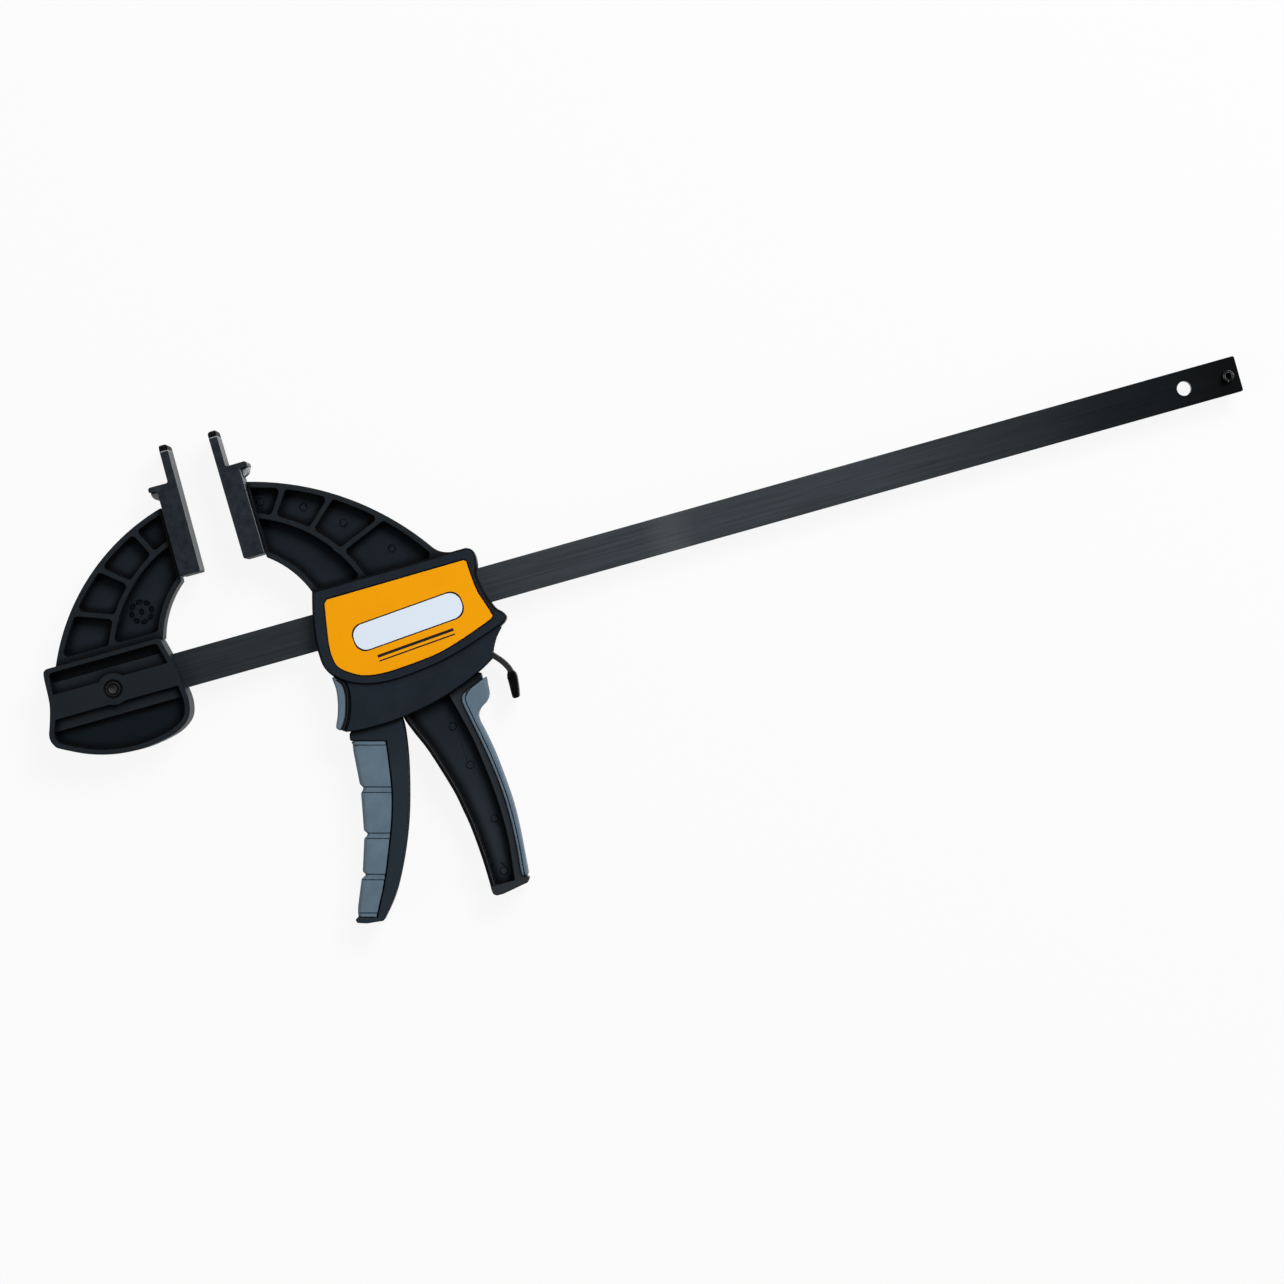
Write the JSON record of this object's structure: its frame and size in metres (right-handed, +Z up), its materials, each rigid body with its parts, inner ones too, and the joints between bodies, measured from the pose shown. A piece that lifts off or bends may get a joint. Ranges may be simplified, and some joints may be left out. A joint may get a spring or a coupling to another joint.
{
  "type": "decking board clamp",
  "caption": "One-handed trigger bar clamp with ribbed jaws, soft grips and pads that carry thin tongues for drawing decking boards together.",
  "frame": {"origin": "on the rear cover's outer face, on the bar's centre line, level with the trigger's pivot along the bar", "axes": "+X along the bar to its free end, +Y towards the jaws' pads, +Z up out of the face the clamp lies on, towards the labelled cover"},
  "size_m": [0.6818, 0.2874, 0.031],
  "materials": {
    "body_nylon": "fine moulded texture",
    "cover_nylon": "fine moulded texture",
    "soft_grip": "matt",
    "pad": "matt",
    "label": "satin film",
    "dark_steel": "dark oiled",
    "bright_steel": "plain zinc plate",
    "dipped_tip": "dipped vinyl"
  },
  "bodies": {
    "handle_body": {"main_body": "body_nylon", "front_cover": "cover_nylon", "rear_cover": "cover_nylon", "cover_screws": "bright_steel", "label": "label", "handle_grip": "soft_grip", "front_rest": "soft_grip", "moving_pad": "pad", "trigger_pin": "bright_steel", "drive_spring": "bright_steel", "brake_spring": "bright_steel"},
    "bar_assembly": {"bar": "dark_steel", "fixed_jaw": "body_nylon", "fixed_jaw_pin": "dark_steel", "fixed_pad": "pad", "stop_pin": "bright_steel"},
    "trigger": {"trigger_lever": "body_nylon", "trigger_grip": "soft_grip"},
    "drive_plates": {"drive_plate_front": "bright_steel", "drive_plate_rear": "bright_steel"},
    "release": {"release_lever": "bright_steel", "release_tip": "dipped_tip"}
  },
  "joints": [
    {"name": "bar_slide", "type": "slide", "parent": "handle_body", "child": "bar_assembly", "axis": [1, 0, 0], "range_m": [-0.421, 0.0227]},
    {"name": "trigger_hinge", "type": "hinge", "parent": "handle_body", "child": "trigger", "pos_m": [0, 0.0136, 0.0155], "axis": [0, 0, 1], "range_deg": [0, 15], "stiffness_Nm_per_rad": 2, "springref_deg": -17.19},
    {"name": "drive_slide", "type": "slide", "parent": "handle_body", "child": "drive_plates", "axis": [1, 0, 0], "range_m": [0, 0.00715], "deforming": ["drive_spring"]},
    {"name": "release_hinge", "type": "hinge", "parent": "handle_body", "child": "release", "pos_m": [0.062, -0.018, 0.0155], "axis": [0, 0, 1], "range_deg": [-5, 0], "stiffness_Nm_per_rad": 1, "springref_deg": 17.19, "deforming": ["brake_spring"]}
  ],
  "couplings": [
    {"joint": "drive_slide", "follows": "trigger_hinge", "m_per_rad": 0.027}
  ]
}
